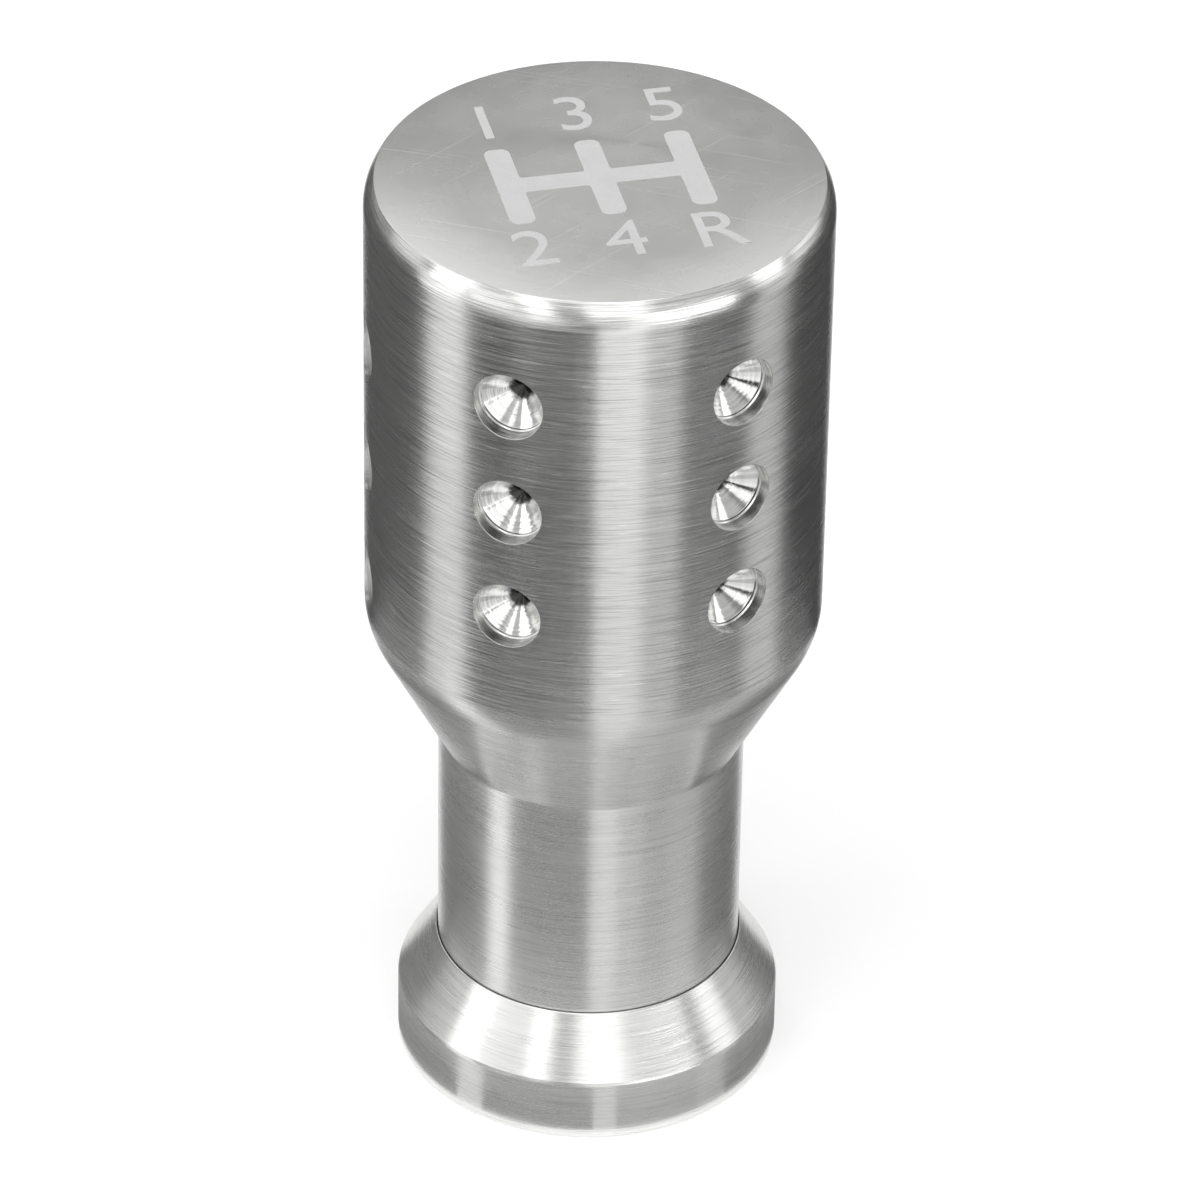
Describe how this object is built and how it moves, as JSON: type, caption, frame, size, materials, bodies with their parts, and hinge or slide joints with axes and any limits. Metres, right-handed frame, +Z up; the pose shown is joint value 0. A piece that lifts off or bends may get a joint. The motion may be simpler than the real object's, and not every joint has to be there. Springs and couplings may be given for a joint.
{
  "type": "gear shift knob",
  "caption": "Turned metal gear shift knob with rows of drilled finger dimples, a slim neck, a sliding gaiter collar and a threaded adapter inside.",
  "frame": {"origin": "middle of the underside, where the collar and the neck stand", "axes": "+Z up along the knob's axis, -Y towards the driver, X across"},
  "size_m": [0.042, 0.042, 0.0948],
  "materials": {
    "knob_metal": "turned and finely brushed, fine matt top face",
    "collar_metal": "turned and finely brushed",
    "spring_wire": "drawn spring wire",
    "rubber": "smooth black",
    "adapter_steel": "turned, zinc plated",
    "screw_steel": "black oxide"
  },
  "bodies": {
    "knob": {"knob_body": "knob_metal", "threaded_adapter": "adapter_steel", "grub_screws": "screw_steel", "snap_ring": "spring_wire", "neck_o_ring": "rubber"},
    "collar": {"gaiter_collar": "collar_metal"}
  },
  "joints": [
    {"name": "collar_slide", "type": "slide", "parent": "knob", "child": "collar", "axis": [0, 0, 1], "range_m": [0, 0.023]}
  ]
}
